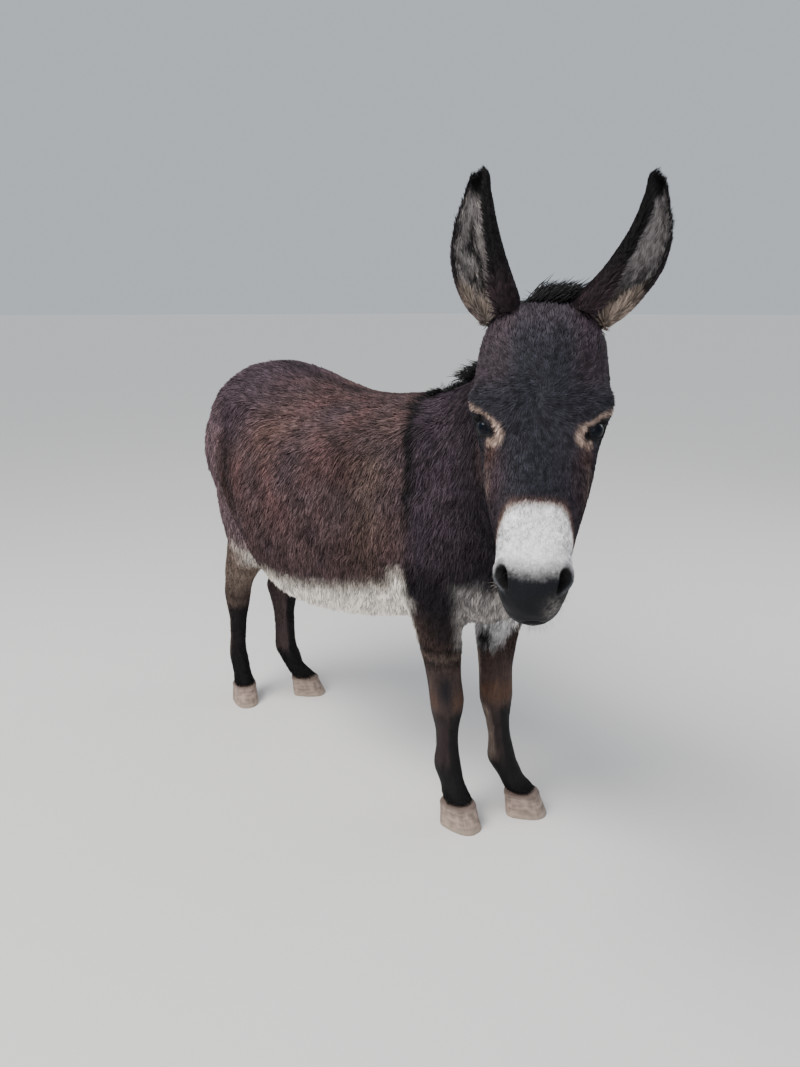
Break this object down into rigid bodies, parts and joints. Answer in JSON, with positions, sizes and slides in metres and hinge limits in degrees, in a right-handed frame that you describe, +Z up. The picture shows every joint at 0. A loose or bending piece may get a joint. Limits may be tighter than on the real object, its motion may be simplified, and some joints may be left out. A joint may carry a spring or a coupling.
{
  "type": "donkey",
  "caption": "Standing small donkey with its head turned to its right, tall ears, short upright mane, round belly and tasselled tail, as a still life-size model.",
  "frame": {"origin": "floor level under the middle of the model's box", "axes": "+Z up, -Y the way the trunk faces, +X the donkey's left"},
  "size_m": [0.7202, 1.4888, 1.365],
  "materials": {
    "coat": "dark chocolate-brown hair",
    "face": "short near-black brown hair",
    "leg": "short grey-brown hair",
    "mane": "coarse black hair",
    "eye": "wet and dark",
    "hoof": "worn horn"
  },
  "bodies": {
    "root": {"head": "face", "neck": "coat", "trunk": "coat", "tail": "coat", "tail_switch": "mane", "mane": "mane", "forelock": "mane", "ear_left": "face", "ear_right": "face", "eye_left": "eye", "eye_right": "eye", "foreleg_left": "leg", "foreleg_right": "leg", "hindleg_left": "leg", "hindleg_right": "leg", "hoof_fore_left": "hoof", "hoof_fore_right": "hoof", "hoof_hind_left": "hoof", "hoof_hind_right": "hoof"}
  },
  "joints": []
}
